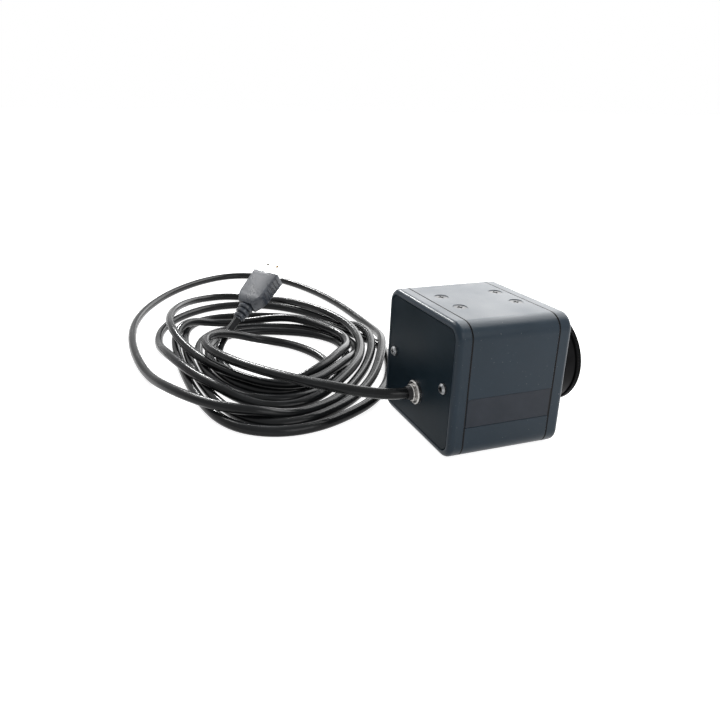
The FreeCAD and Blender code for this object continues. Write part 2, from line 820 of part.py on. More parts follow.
def lead_wires():
    half = S.wire_pitch / 2
    places = [(half * side, S.gland_high + half * top) for side in (-1, 1) for top in (-1, 1)]
    return together("lead_wires", [
        rod(f"wire_{number}", "y", place, (lead_plug_back, jacket_start), S.wire_wide / 2)
        for number, place in enumerate(places)])


# ---------------------------------------------------------------- electronics


def board(label, front, back):
    new = body(label)
    pad(new, f"{label}_sheet", "y", (front, back),
        rounded(on_axis, S.board_wide, S.board_wide, S.board_thick))
    for number, spot in enumerate(board_spots):
        pocket(new, f"{label}_hole_{number}", "y", (front, back),
               circle(spot, S.board_screw_wide / 2 + S.bore_gap))
    return new


def board_spacers():
    tubes = []
    for number, spot in enumerate(board_spots):
        span = (sensor_board_back, usb_board_front)
        outer = rod(f"spacer_{number}_outside", "y", spot, span, S.board_boss_wide / 2)
        inner = rod(f"spacer_{number}_bore", "y", spot, span, S.board_screw_wide / 2 + S.bore_gap)
        tubes.append(cut(f"spacer_{number}", outer, inner))
    return together("board_spacers", tubes)


def on_board(across, up, width, height):
    """Low and high places of a rectangle whose middle is set from the lens axis."""
    return ((across - width / 2, across + width / 2),
            (axis_up + up - height / 2, axis_up + up + height / 2))


def image_sensor():
    """Sensor package: frame with a smaller cover glass."""
    chip = body("image_sensor")
    frame = sensor_board_front - S.chip_frame_high
    pad(chip, "chip_frame", "y", (frame, sensor_board_front),
        rectangle(*on_board(ZERO, ZERO, S.chip_wide, S.chip_tall)))
    pad(chip, "chip_glass", "y", (frame - S.chip_glass_high, frame), rectangle(*on_board(
        ZERO, ZERO, S.chip_wide - S.chip_glass_inset * 2, S.chip_tall - S.chip_glass_inset * 2)))
    return chip


def filter_holder():
    """Box over the sensor with a seat for the infrared filter in its front."""
    front = sensor_board_front - S.holder_high
    inside = S.holder_wide - S.holder_wall * 2
    seat = S.filter_wide + S.fit_gap * 2
    opening = S.filter_wide - S.filter_ledge * 2
    holder = body("filter_holder")
    pad(holder, "holder_box", "y", (front, sensor_board_front),
        rectangle(*on_board(ZERO, ZERO, S.holder_wide, S.holder_wide)))
    pocket(holder, "holder_hollow", "y", (front + S.holder_front, sensor_board_front),
           rectangle(*on_board(ZERO, ZERO, inside, inside)))
    pocket(holder, "filter_seat", "y", (front, front + S.filter_thick),
           rectangle(*on_board(ZERO, ZERO, seat, seat)))
    pocket(holder, "holder_opening", "y", (front + S.filter_thick, front + S.holder_front),
           rectangle(*on_board(ZERO, ZERO, opening, opening)))
    return holder


def ir_filter():
    front = sensor_board_front - S.holder_high
    across, up = on_board(ZERO, ZERO, S.filter_wide, S.filter_wide)
    return block("ir_filter", across, (front, front + S.filter_thick), up)


def chip_block(label, across, up, width, height, thick):
    sides, heights = on_board(across, up, width, height)
    return block(label, sides, (usb_board_back, usb_board_back + thick), heights)


def memory_chips():
    return together("memory_chips", [
        chip_block(f"memory_chip_{number}", S.memory_across, S.memory_up + S.memory_pitch / 2 * side,
                   S.memory_wide, S.memory_tall, S.memory_high)
        for number, side in enumerate((-1, 1))])


def board_link():
    across, up = on_board(ZERO, S.link_up, S.link_wide, S.link_tall)
    return block("board_link", across, (sensor_board_back, usb_board_front), up)


# ---------------------------------------------------------------- USB plug
# Modelled along +X from the middle of the overmould's rear end, then laid in place.

plug_turn = Rotation(float(S.plug_yaw), -float(S.plug_rise), float(S.plug_roll))
plug_place = Placement(
    Vector(float(S.plug_across), float(S.plug_along), float(S.plug_up)), plug_turn)
shell_start = S.mould_long - S.shell_in
shell_mouth = S.mould_long + S.shell_out
shell_hollow_wide = S.shell_wide - S.shell_wall * 2
shell_hollow_high = S.shell_high - S.shell_wall * 2


def plug_body(label):
    new = doc.addObject("PartDesign::Body", label)
    new.Placement = plug_place
    return new


def centred(width, height):
    return rectangle((-width / 2, width / 2), (-height / 2, height / 2))


def bevelled(width, height, bevel):
    """Drawing of a rectangle with its four corners cut off."""
    half, tall = width / 2, height / 2
    return polygon([
        (half, bevel - tall), (half, tall - bevel), (half - bevel, tall), (bevel - half, tall),
        (-half, tall - bevel), (-half, bevel - tall), (bevel - half, -tall), (half - bevel, -tall)])


def plug_overmold():
    """Overmould that widens to its front, and the ribbed strain relief behind it."""
    mould = plug_body("plug_overmold")
    rear = sketch(mould, "mould_rear", "x", ZERO)
    bevelled(S.mould_rear_wide, S.mould_rear_high, S.mould_bevel)(rear)
    front = sketch(mould, "mould_front", "x", S.mould_long)
    bevelled(S.mould_wide, S.mould_high, S.mould_bevel)(front)
    loft = mould.newObject("PartDesign::AdditiveLoft", "mould_block")
    loft.Profile = rear
    loft.Sections = [front]
    loft.Ruled = True
    count = int(float(S.relief_ribs))
    pitch = S.relief_long / count
    profile = [(ZERO, ZERO)]
    for rib in range(count):
        start = pitch * -rib
        radius = (S.relief_wide - (S.relief_wide - S.relief_tip_wide) / (count - 1) * rib) / 2
        neck = radius - S.relief_groove
        root = neck if rib else radius
        end = start - pitch
        profile += [(start, root), (start - S.relief_neck_long, root),
                    (start - S.relief_neck_long - S.relief_slope, radius),
                    (end + S.relief_slope, radius), (end, neck)]
    profile[-1] = (-S.relief_long, profile[-2][1])
    profile.append((-S.relief_long, ZERO))
    outline = sketch(mould, "relief_profile", "z")
    draw_polygon(outline, profile)
    relief = mould.newObject("PartDesign::Revolution", "strain_relief")
    relief.Profile = outline
    relief.ReferenceAxis = (outline, ["H_Axis"])
    relief.Angle = 360
    pocket(mould, "shell_seat", "x", (shell_start, S.mould_long), centred(S.shell_wide, S.shell_high))
    return mould


def plug_shell():
    """Folded steel shell with two windows in its top and two in its bottom."""
    shell = plug_body("plug_shell")
    pad(shell, "shell_outside", "x", (shell_start, shell_mouth), centred(S.shell_wide, S.shell_high))
    pocket(shell, "shell_inside", "x", (shell_start, shell_mouth),
           centred(shell_hollow_wide, shell_hollow_high))
    front = shell_mouth - S.shell_window_back
    for number, side in enumerate((-1, 1)):
        middle = S.shell_window_spread / 2 * side
        pocket(shell, f"shell_window_{number}", "z", (-S.shell_high / 2, S.shell_high / 2), rectangle(
            (front - S.shell_window, front),
            (middle - S.shell_window / 2, middle + S.shell_window / 2)))
    return shell


def plug_tongue():
    """White insulator: a block that fills the shell's root and the tongue ahead of it."""
    tongue = plug_body("plug_tongue")
    floor = -shell_hollow_high / 2
    sides = (-shell_hollow_wide / 2, shell_hollow_wide / 2)
    pad(tongue, "tongue_root", "x", (shell_start, shell_start + S.tongue_base_long),
        rectangle(sides, (floor, -floor)))
    pad(tongue, "tongue_blade", "x", (shell_start + S.tongue_base_long, shell_mouth - S.tongue_back),
        rectangle(sides, (floor, floor + S.tongue_high)))
    return tongue


def plug_contacts():
    """Four strips on the tongue: two longer outer ones and two inner ones."""
    floor = S.tongue_high - shell_hollow_high / 2
    tip = shell_mouth - S.tongue_back - S.contact_thick
    outer, inner = S.contact_outer, S.contact_inner
    places = ((-outer, ZERO), (-inner, S.contact_step), (inner, S.contact_step), (outer, ZERO))
    strips = []
    for number, (place, shorter) in enumerate(places):
        strip = plug_body(f"contact_{number}")
        front = tip - shorter
        pad(strip, f"contact_{number}_strip", "z", (floor, floor + S.contact_thick), rectangle(
            (tip - S.contact_long, front),
            (place - S.contact_wide / 2, place + S.contact_wide / 2)))
        strips.append(strip)
    return together("plug_contacts", strips)


# ---------------------------------------------------------------- the lead outside the camera

relief_tip = plug_place.multVec(Vector(-float(S.relief_long), 0, 0))
behind_relief = plug_place.multVec(Vector(-float(S.relief_long + S.tail_straight), 0, 0))
LEAD_ROUTE = [
    Vector(0, float(boot_end), float(S.gland_high)),
    Vector(0, float(boot_end + S.lead_straight), float(S.gland_high)),
    Vector(5, 47.5, 15.4),
    Vector(15, 59, 15.1),
    Vector(33, 73, 14.2),
    Vector(54, 85, 11.0),
    Vector(73, 93, 5.0),
]
TAIL_ROUTE = [
    relief_tip,
    behind_relief,
    Vector(92, 84, 4.6),
]


def rounded_path(points):
    """Wire of straight runs joined by tangent arcs, each as large as its runs allow."""
    edges, radii, last = [], [], points[0]
    for before, corner, after in zip(points, points[1:], points[2:]):
        back, ahead = (before - corner), (after - corner)
        trim = 0.45 * min(back.Length, ahead.Length)
        back.normalize()
        ahead.normalize()
        start, end = corner + back * trim, corner + ahead * trim
        half_turn = (math.pi - back.getAngle(ahead)) / 2
        radius = trim / math.tan(half_turn)
        radii.append(radius)
        towards = back + ahead
        towards.normalize()
        crown = corner + towards * (radius / math.cos(half_turn) - radius)
        edges += [Part.LineSegment(last, start).toShape(), Part.Arc(start, crown, end).toShape()]
        last = end
    edges.append(Part.LineSegment(last, points[-1]).toShape())
    return Part.Wire(edges), radii


def cord_tube(label, points):
    """Round cord swept along its route, with its volume checked against its length."""
    wire, radii = rounded_path(points)
    path = doc.addObject("Part::Feature", f"{label}_path")
    path.Shape = wire
    section = doc.addObject("Part::Circle", f"{label}_section")
    bind(section, "Radius", S.cable_wide / 2)
    section.Placement = Placement(points[0], Rotation(Vector(0, 0, 1), points[1] - points[0]))
    tube = doc.addObject("Part::Sweep", label)
    tube.Sections = [section]
    tube.Spine = (path, [f"Edge{index + 1}" for index in range(len(wire.Edges))])
    tube.Solid = True
    tube.Frenet = False
    doc.recompute()
    expected = wire.Length * math.pi * float(S.cable_wide) ** 2 / 4
    print(f"{label}: length {wire.Length:.1f}, radii {[round(radius, 1) for radius in radii]},"
          f" volume ratio {tube.Shape.Volume / expected:.4f}")
    return tube


def cord_coil():
    """Outer shape of the loose coil: a low oval ring."""
    def oval(name, across, along, half_long, half_wide):
        outline = doc.addObject("Part::Ellipse", f"{name}_outline")
        outline.Placement = Placement(Vector(), Rotation(Vector(0, 0, 1), float(S.coil_turn)))
        bind(outline, "Placement.Base.x", across)
        bind(outline, "Placement.Base.y", along)
        bind(outline, "MajorRadius", half_long)
        bind(outline, "MinorRadius", half_wide)
        solid = doc.addObject("Part::Extrusion", name)
        solid.Base = outline
        solid.DirMode = "Custom"
        solid.Dir = Vector(0, 0, 1)
        solid.Solid = True
        bind(solid, "LengthFwd", S.coil_high)
        return solid

    outside = oval("coil_outside", S.coil_across, S.coil_along, S.coil_half_long, S.coil_half_wide)
    hole = oval("coil_hole", S.coil_hole_across, S.coil_hole_along,
                S.coil_hole_half_long, S.coil_hole_half_wide)
    ring = cut("coil_ring", outside, hole)
    doc.recompute()
    coil = doc.addObject("Part::Chamfer", "cord_coil")
    coil.Base = ring
    bevel = float(S.coil_bevel)
    coil.Edges = [(index, bevel, bevel) for index, edge in enumerate(ring.Shape.Edges, start=1)
                  if edge.isClosed() and edge.BoundBox.ZLength < 1e-6]
    return coil


# ---------------------------------------------------------------- build and write

NODES = [
    front_cap(),
    back_focus_ring(),
    ring_lock_screw(),
    body_sleeve(),
    label_strip(),
    rear_bezel(),
    rear_plate(),
    rear_plate_screws(),
    face_screws("top_screws", S.body_high, -1),
    nut_plate("top_nut_plate", S.body_high - S.sleeve_wall - S.nut_plate_thick,
              S.body_high - S.sleeve_wall),
    face_screws("base_screws", ZERO, 1),
    tripod_plate(),
    gland_bushing(),
    gland_nut(),
    cable_boot(),
    rod("inner_lead", "y", gland_spot, (jacket_start, boot_start), S.cable_wide / 2),
    lead_wires(),
    lead_plug(),
    lead_socket(),
    board("sensor_board", sensor_board_front, sensor_board_back),
    board("usb_board", usb_board_front, usb_board_back),
    board_spacers(),
    board_screws(),
    board_link(),
    image_sensor(),
    filter_holder(),
    ir_filter(),
    chip_block("video_processor", S.processor_across, S.processor_up, S.processor_wide,
               S.processor_wide, S.processor_high),
    memory_chips(),
    plug_overmold(),
    plug_shell(),
    plug_tongue(),
    plug_contacts(),
    cord_tube("cord_lead", LEAD_ROUTE),
    cord_tube("cord_tail", TAIL_ROUTE),
    cord_coil(),
]
doc.recompute()

for item in doc.Objects:
    if "Invalid" in item.State or "Error" in item.State:
        raise RuntimeError(f"{item.Label} did not build: {item.State}")
for node in NODES:
    if node.Shape.isNull() or not node.Shape.isValid() or not node.Shape.Solids:
        raise RuntimeError(f"{node.Label} has no valid solid")

os.makedirs("parts", exist_ok=True)
for node in NODES:
    node.Shape.exportStep(f"parts/{node.Label}.step")
    print(f"{node.Label}: {len(node.Shape.Solids)} solids, {node.Shape.Volume:.1f} mm3")
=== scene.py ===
import json
import math

import bmesh
import bpy
from mathutils import Matrix, Vector


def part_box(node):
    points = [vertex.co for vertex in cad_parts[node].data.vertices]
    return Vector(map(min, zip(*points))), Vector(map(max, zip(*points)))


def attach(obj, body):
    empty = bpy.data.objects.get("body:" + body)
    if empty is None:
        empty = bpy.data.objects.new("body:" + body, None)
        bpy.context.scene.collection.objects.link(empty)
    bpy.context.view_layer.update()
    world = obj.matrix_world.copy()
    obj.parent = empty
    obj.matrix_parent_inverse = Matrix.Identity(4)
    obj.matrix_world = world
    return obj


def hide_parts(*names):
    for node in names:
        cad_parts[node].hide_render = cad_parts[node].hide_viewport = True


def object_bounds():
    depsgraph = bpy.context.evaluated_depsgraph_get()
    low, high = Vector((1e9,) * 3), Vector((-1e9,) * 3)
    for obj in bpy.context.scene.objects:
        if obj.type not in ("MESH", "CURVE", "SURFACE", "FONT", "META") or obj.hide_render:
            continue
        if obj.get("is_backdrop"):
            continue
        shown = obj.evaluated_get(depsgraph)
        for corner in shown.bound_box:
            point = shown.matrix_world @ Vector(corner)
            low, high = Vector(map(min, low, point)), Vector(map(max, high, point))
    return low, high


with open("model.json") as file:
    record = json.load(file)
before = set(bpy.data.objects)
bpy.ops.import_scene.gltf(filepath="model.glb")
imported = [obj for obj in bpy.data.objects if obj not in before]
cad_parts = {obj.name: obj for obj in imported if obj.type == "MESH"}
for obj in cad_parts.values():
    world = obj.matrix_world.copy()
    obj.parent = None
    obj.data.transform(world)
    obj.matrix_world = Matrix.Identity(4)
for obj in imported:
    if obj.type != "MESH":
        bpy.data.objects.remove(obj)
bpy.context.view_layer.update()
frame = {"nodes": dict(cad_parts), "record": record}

# ---------------------------------------------------------------- camera
# The viewer's place: behind the housing, off its label side and a little above it,
# looking forward past the coiled lead. Kept low so that the top is seen at a slant.

viewer = bpy.data.cameras.new("viewer")
viewer.sensor_width = 36
viewer.lens = 30.43
viewer.shift_x = 0.0996
viewer.shift_y = -0.0965
viewer.clip_start = 0.01
viewer_object = bpy.data.objects.new("viewer", viewer)
viewer_object.location = (-0.1837, 0.1319, 0.1163)
viewer_object.rotation_euler = [math.radians(turn) for turn in (73.46, -0.58, -107.40)]
bpy.context.collection.objects.link(viewer_object)
bpy.context.scene.camera = viewer_object
bpy.context.scene.view_settings.view_transform = "Standard"

# ---------------------------------------------------------------- lead
# A USB lead of 4.2 mm black PVC, about 2.76 m long, in eight and a half loose turns beside
# the housing: bunched on the near side, fanned out on the far side, one turn much wider.

lead_wide = 0.0042

from_gland = [
    (0.0000, 0.0272, 0.0155), (0.0005, 0.0330, 0.0155), (0.0050, 0.0410, 0.0153),
    (0.0140, 0.0505, 0.0147), (0.0260, 0.0615, 0.0139), (0.0390, 0.0715, 0.0132),
    (0.0530, 0.0803, 0.0125), (0.0660, 0.0862, 0.0120), (0.0760, 0.0888, 0.0118),
]
inner_turn = [
    (0.0848, 0.0880, 0.0114), (0.0916, 0.0843, 0.0108), (0.0963, 0.0782, 0.0097),
    (0.0987, 0.0702, 0.0075), (0.1000, 0.0610, 0.0040), (0.0978, 0.0513, 0.0022),
    (0.0905, 0.0428, 0.0021), (0.0795, 0.0365, 0.0021), (0.0670, 0.0335, 0.0021),
    (0.0550, 0.0360, 0.0021),
]
second_left = [
    (0.0460, 0.0430, 0.0021), (0.0400, 0.0530, 0.0021), (0.0395, 0.0635, 0.0021),
    (0.0435, 0.0730, 0.0021), (0.0520, 0.0800, 0.0021), (0.0640, 0.0843, 0.0021),
    (0.0790, 0.0862, 0.0021), (0.0920, 0.0855, 0.0021), (0.1030, 0.0815, 0.0021),
    (0.1103, 0.0750, 0.0021), (0.1143, 0.0655, 0.0021), (0.1143, 0.0540, 0.0021),
]
second_right = [
    (0.1108, 0.0428, 0.0021), (0.1058, 0.0325, 0.0021), (0.0990, 0.0243, 0.0021),
    (0.0885, 0.0185, 0.0021), (0.0755, 0.0195, 0.0021), (0.0630, 0.0250, 0.0021),
    (0.0505, 0.0323, 0.0021), (0.0405, 0.0413, 0.0021),
]
third_left = [
    (0.0350, 0.0520, 0.0021), (0.0330, 0.0623, 0.0021), (0.0352, 0.0720, 0.0021),
    (0.0415, 0.0803, 0.0021), (0.0525, 0.0865, 0.0021), (0.0655, 0.0898, 0.0021),
    (0.0790, 0.0908, 0.0021), (0.0925, 0.0903, 0.0021), (0.1050, 0.0875, 0.0021),
    (0.1145, 0.0815, 0.0021), (0.1198, 0.0730, 0.0021), (0.1213, 0.0623, 0.0021),
    (0.1203, 0.0515, 0.0021),
]
third_right = [
    (0.1170, 0.0408, 0.0021), (0.1120, 0.0300, 0.0021), (0.1030, 0.0206, 0.0021),
    (0.0915, 0.0130, 0.0021), (0.0785, 0.0130, 0.0022), (0.0670, 0.0185, 0.0038),
    (0.0565, 0.0270, 0.0061), (0.0465, 0.0380, 0.0065),
]
fourth_turn = [
    (0.0390, 0.0490, 0.0063), (0.0370, 0.0600, 0.0063), (0.0415, 0.0705, 0.0063),
    (0.0510, 0.0785, 0.0063), (0.0630, 0.0860, 0.0063), (0.0770, 0.0925, 0.0066),
    (0.0940, 0.0977, 0.0076), (0.1120, 0.1005, 0.0096), (0.1310, 0.0995, 0.0086),
    (0.1500, 0.0945, 0.0064), (0.1660, 0.0865, 0.0046), (0.1780, 0.0750, 0.0026),
    (0.1820, 0.0610, 0.0021), (0.1770, 0.0480, 0.0021), (0.1665, 0.0365, 0.0026),
    (0.1520, 0.0273, 0.0056), (0.1340, 0.0183, 0.0071), (0.1160, 0.0117, 0.0074),
    (0.0970, 0.0090, 0.0076), (0.0780, 0.0110, 0.0068), (0.0610, 0.0180, 0.0063),
    (0.0470, 0.0280, 0.0063), (0.0370, 0.0390, 0.0055),
]
fifth_turn = [
    (0.0300, 0.0500, 0.0032), (0.0270, 0.0615, 0.0021), (0.0290, 0.0730, 0.0021),
    (0.0360, 0.0825, 0.0035), (0.0460, 0.0905, 0.0062), (0.0580, 0.0973, 0.0065),
    (0.0720, 0.1023, 0.0070), (0.0900, 0.1063, 0.0056), (0.1090, 0.1077, 0.0021),
    (0.1270, 0.1050, 0.0021), (0.1415, 0.0975, 0.0021), (0.1535, 0.0860, 0.0021),
    (0.1615, 0.0715, 0.0021), (0.1625, 0.0560, 0.0021), (0.1580, 0.0410, 0.0021),
    (0.1480, 0.0275, 0.0021), (0.1340, 0.0170, 0.0021), (0.1180, 0.0105, 0.0024),
    (0.1040, 0.0065, 0.0049), (0.0930, 0.0033, 0.0069), (0.0810, 0.0040, 0.0066),
    (0.0670, 0.0095, 0.0052), (0.0525, 0.0193, 0.0030), (0.0400, 0.0305, 0.0021),
]
widest_turn = [
    (0.0285, 0.0420, 0.0021), (0.0220, 0.0540, 0.0021), (0.0188, 0.0665, 0.0027),
    (0.0180, 0.0783, 0.0063), (0.0240, 0.0913, 0.0070), (0.0350, 0.1016, 0.0069),
    (0.0510, 0.1102, 0.0056), (0.0710, 0.1159, 0.0024), (0.0940, 0.1194, 0.0021),
    (0.1190, 0.1203, 0.0021), (0.1460, 0.1170, 0.0021), (0.1730, 0.1072, 0.0021),
    (0.1990, 0.0908, 0.0021), (0.2190, 0.0700, 0.0021), (0.2295, 0.0485, 0.0021),
    (0.2260, 0.0290, 0.0021), (0.2120, 0.0140, 0.0021), (0.1915, 0.0045, 0.0021),
    (0.1680, -0.0022, 0.0021), (0.1420, -0.0058, 0.0021), (0.1160, -0.0065, 0.0021),
    (0.0945, -0.0050, 0.0036), (0.0765, -0.0006, 0.0068), (0.0595, 0.0083, 0.0054),
    (0.0430, 0.0193, 0.0032),
]
seventh_turn = [
    (0.0295, 0.0325, 0.0021), (0.0203, 0.0455, 0.0021), (0.0148, 0.0580, 0.0021),
    (0.0133, 0.0690, 0.0021), (0.0167, 0.0783, 0.0021), (0.0245, 0.0857, 0.0021),
    (0.0360, 0.0903, 0.0021), (0.0500, 0.0933, 0.0021), (0.0670, 0.0952, 0.0021),
    (0.0850, 0.0957, 0.0021), (0.1030, 0.0950, 0.0021), (0.1180, 0.0930, 0.0021),
    (0.1295, 0.0896, 0.0021), (0.1375, 0.0835, 0.0021), (0.1415, 0.0742, 0.0021),
    (0.1415, 0.0630, 0.0021), (0.1395, 0.0510, 0.0021), (0.1350, 0.0385, 0.0021),
    (0.1275, 0.0265, 0.0021), (0.1155, 0.0160, 0.0021), (0.1020, 0.0095, 0.0021),
    (0.0900, 0.0040, 0.0021), (0.0790, 0.0000, 0.0021), (0.0650, 0.0020, 0.0021),
    (0.0480, 0.0090, 0.0021),
]
eighth_turn = [
    (0.0320, 0.0190, 0.0021), (0.0208, 0.0315, 0.0021), (0.0138, 0.0440, 0.0021),
    (0.0090, 0.0565, 0.0021), (0.0078, 0.0685, 0.0021), (0.0103, 0.0790, 0.0021),
    (0.0160, 0.0875, 0.0021), (0.0250, 0.0933, 0.0021), (0.0365, 0.0965, 0.0021),
    (0.0495, 0.0986, 0.0021), (0.0650, 0.0998, 0.0021), (0.0820, 0.1001, 0.0021),
    (0.0980, 0.1000, 0.0024), (0.1120, 0.0986, 0.0044), (0.1215, 0.0938, 0.0068),
    (0.1280, 0.0865, 0.0062), (0.1310, 0.0770, 0.0032), (0.1310, 0.0665, 0.0021),
    (0.1285, 0.0560, 0.0028),
]
last_turn = [
    (0.1240, 0.0460, 0.0052), (0.1175, 0.0360, 0.0070), (0.1080, 0.0275, 0.0069),
    (0.0960, 0.0205, 0.0064), (0.0840, 0.0170, 0.0064), (0.0720, 0.0200, 0.0066),
    (0.0618, 0.0283, 0.0080), (0.0532, 0.0370, 0.0078), (0.0483, 0.0460, 0.0063),
    (0.0457, 0.0555, 0.0038), (0.0460, 0.0650, 0.0022), (0.0505, 0.0730, 0.0021),
    (0.0590, 0.0783, 0.0021), (0.0705, 0.0810, 0.0021), (0.0830, 0.0818, 0.0021),
]
to_plug = [
    (0.0940, 0.0796, 0.0032), (0.1024, 0.0741, 0.0066), (0.1077, 0.0670, 0.0121),
]

lead_curve = bpy.data.curves.new("usb_lead", "CURVE")
lead_curve.dimensions = "3D"
lead_curve.bevel_depth = lead_wide / 2
lead_curve.bevel_resolution = 4
lead_curve.resolution_u = 8
lead_points = (from_gland + inner_turn + second_left + second_right + third_left + third_right
               + fourth_turn + fifth_turn + widest_turn + seventh_turn + eighth_turn
               + last_turn + to_plug)
lead_line = lead_curve.splines.new("NURBS")
lead_line.points.add(len(lead_points) - 1)
for spot, place in zip(lead_line.points, lead_points):
    spot.co = (*place, 1)
lead_line.order_u = 3
lead_line.use_endpoint_u = True
lead = bpy.data.objects.new("usb_lead", lead_curve)
bpy.context.collection.objects.link(lead)


def finish_named(name, colour, roughness, metallic=0.0, gloss=0.5):
    """New material with its plain values set on the shader."""
    made = bpy.data.materials.new(name)
    made.use_nodes = True
    shader = made.node_tree.nodes["Principled BSDF"]
    shader.inputs["Base Color"].default_value = (*colour, 1)
    shader.inputs["Roughness"].default_value = roughness
    shader.inputs["Metallic"].default_value = metallic
    shader.inputs["Specular IOR Level"].default_value = gloss
    return made, made.node_tree, shader


def mottle(tree, size, detail=4.0, stretch=(1, 1, 1)):
    """Noise on Object coordinates whose blotches are about size metres wide."""
    place = tree.nodes.new("ShaderNodeTexCoord")
    turn = tree.nodes.new("ShaderNodeMapping")
    turn.inputs["Scale"].default_value = stretch
    noise = tree.nodes.new("ShaderNodeTexNoise")
    noise.inputs["Scale"].default_value = 1 / size
    noise.inputs["Detail"].default_value = detail
    tree.links.new(place.outputs["Object"], turn.inputs["Vector"])
    tree.links.new(turn.outputs["Vector"], noise.inputs["Vector"])
    return noise.outputs["Fac"]


def spread(tree, fac, low, high, socket, start=0.3, end=0.7):
    """Carry a noise value to a socket between two numbers."""
    span = tree.nodes.new("ShaderNodeMapRange")
    span.inputs["From Min"].default_value = start
    span.inputs["From Max"].default_value = end
    span.inputs["To Min"].default_value = low
    span.inputs["To Max"].default_value = high
    tree.links.new(fac, span.inputs["Value"])
    tree.links.new(span.outputs["Result"], socket)


def tint(tree, fac, dark, light, socket, start=0.3, end=0.7):
    """Carry a noise value to a colour socket between two colours."""
    ramp = tree.nodes.new("ShaderNodeValToRGB")
    ramp.color_ramp.elements[0].position = start
    ramp.color_ramp.elements[0].color = (*dark, 1)
    ramp.color_ramp.elements[1].position = end
    ramp.color_ramp.elements[1].color = (*light, 1)
    tree.links.new(fac, ramp.inputs["Fac"])
    tree.links.new(ramp.outputs["Color"], socket)


def roughen(tree, shader, fac, depth, strength):
    """Let a noise value stand as relief of a depth in metres."""
    relief = tree.nodes.new("ShaderNodeBump")
    relief.inputs["Strength"].default_value = strength
    relief.inputs["Distance"].default_value = depth
    tree.links.new(fac, relief.inputs["Height"])
    tree.links.new(relief.outputs["Normal"], shader.inputs["Normal"])


pvc, pvc_tree, pvc_shader = finish_named("black_pvc", (0.008, 0.009, 0.010), 0.20, gloss=0.15)
pvc_wide = mottle(pvc_tree, 0.014)
tint(pvc_tree, pvc_wide, (0.005, 0.0055, 0.006), (0.011, 0.012, 0.013),
     pvc_shader.inputs["Base Color"])
spread(pvc_tree, pvc_wide, 0.14, 0.26, pvc_shader.inputs["Roughness"])
roughen(pvc_tree, pvc_shader, mottle(pvc_tree, 0.0011), 0.00007, 0.8)
lead_curve.materials.append(pvc)
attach(lead, "camera")
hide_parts("cord_lead", "cord_coil", "cord_tail")

# ---------------------------------------------------------------- plug
# USB type A plug: a moulded grip that widens to its front, with ridged sides and a ribbed
# strain relief, over a folded steel shell, its white tongue and four gold contacts.

mount_of = {mount["name"]: mount for mount in frame["record"]["mounts"]}
plug_mouth = Vector(mount_of["usb_plug"]["pos_m"])
plug_forward = Vector(mount_of["usb_plug"]["axis"]).normalized()
grip_long, shell_out, hair = 0.0215, 0.0118, 1e-6
plug_roll = Matrix.Rotation(math.radians(3), 3, "X")
plug_lay = plug_forward.to_track_quat("X", "Z") @ plug_roll.to_quaternion()
plug_place = (Matrix.Translation(plug_mouth - plug_forward * (grip_long + shell_out))
              @ plug_lay.to_matrix().to_4x4())


def add_piece(name, mesh, body, smooth):
    """Turn a bmesh into an object that rides on a body, smooth up to an angle."""
    bmesh.ops.remove_doubles(mesh, verts=mesh.verts, dist=hair)
    bmesh.ops.recalc_face_normals(mesh, faces=mesh.faces)
    for edge in mesh.edges:
        edge.smooth = edge.calc_face_angle(0) < math.radians(smooth)
    for face in mesh.faces:
        face.smooth = True
    data = bpy.data.meshes.new(name)
    mesh.to_mesh(data)
    mesh.free()
    made = bpy.data.objects.new(name, data)
    bpy.context.collection.objects.link(made)
    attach(made, body)
    return made


def turn_profile(mesh, profile, way, steps, centre=(0, 0, 0)):
    """Spin a line of (station, radius) points once round an axis through a centre."""
    line = [mesh.verts.new(Vector(way) * along + Vector((0, 0, out)) + Vector(centre))
            for along, out in profile]
    edges = [mesh.edges.new(pair) for pair in zip(line, line[1:])]
    bmesh.ops.spin(mesh, geom=line + edges, cent=centre, axis=way, angle=math.tau, steps=steps,
                   use_merge=True)


def lean(edge):
    """How far an edge leans along X, Y and Z, each from 0 to 1."""
    return [abs(share) for share in (edge.verts[0].co - edge.verts[1].co).normalized()]


def round_off(mesh, edges, radius, segments):
    """Round edges with a few narrow faces."""
    bmesh.ops.bevel(mesh, geom=edges, offset=radius, offset_type="OFFSET", affect="EDGES",
                    segments=segments, profile=0.5, material=-1)


shoulder, rear_share = 0.0052, 0.58
front_wide, front_high = 0.0162, 0.0084
rear_wide, rear_high = 0.0150, 0.0078
shoulder_round, edge_round, end_round = 0.0022, 0.0009, 0.0004
grip = bmesh.new()
bmesh.ops.create_cube(grip, size=1)
for corner in grip.verts:
    front = corner.co.x > 0
    corner.co.x = grip_long if front else 0
    corner.co.y *= front_wide if front else rear_wide
    corner.co.z *= front_high if front else rear_high
gap_first, gap_pitch, gap_wide = 0.0022, 0.0026, 0.0013
gap_wall, gap_deep = 0.0003, 0.0003
gap_starts = [shoulder + gap_first + number * gap_pitch for number in range(5)]
for station in [shoulder] + [start + extra for start in gap_starts for extra in (0, gap_wide)]:
    bmesh.ops.bisect_plane(grip, geom=grip.verts[:] + grip.edges[:] + grip.faces[:],
                           plane_co=(station, 0, 0), plane_no=(1, 0, 0))
for corner in grip.verts:
    if corner.co.x < hair:
        corner.co.y *= rear_share
shoulder_edges = [edge for edge in grip.edges
                  if lean(edge)[2] > 0.95 and abs(edge.verts[0].co.x - shoulder) < hair
                  and abs(edge.verts[0].co.y) > rear_wide / 3]
round_off(grip, shoulder_edges, shoulder_round, 4)
long_edges = [edge for edge in grip.edges
              if len(edge.link_faces) == 2 and edge.calc_face_angle(0) > math.radians(60)
              and lean(edge)[2] < 0.5 and lean(edge)[0] > 0.1]
round_off(grip, long_edges, edge_round, 3)
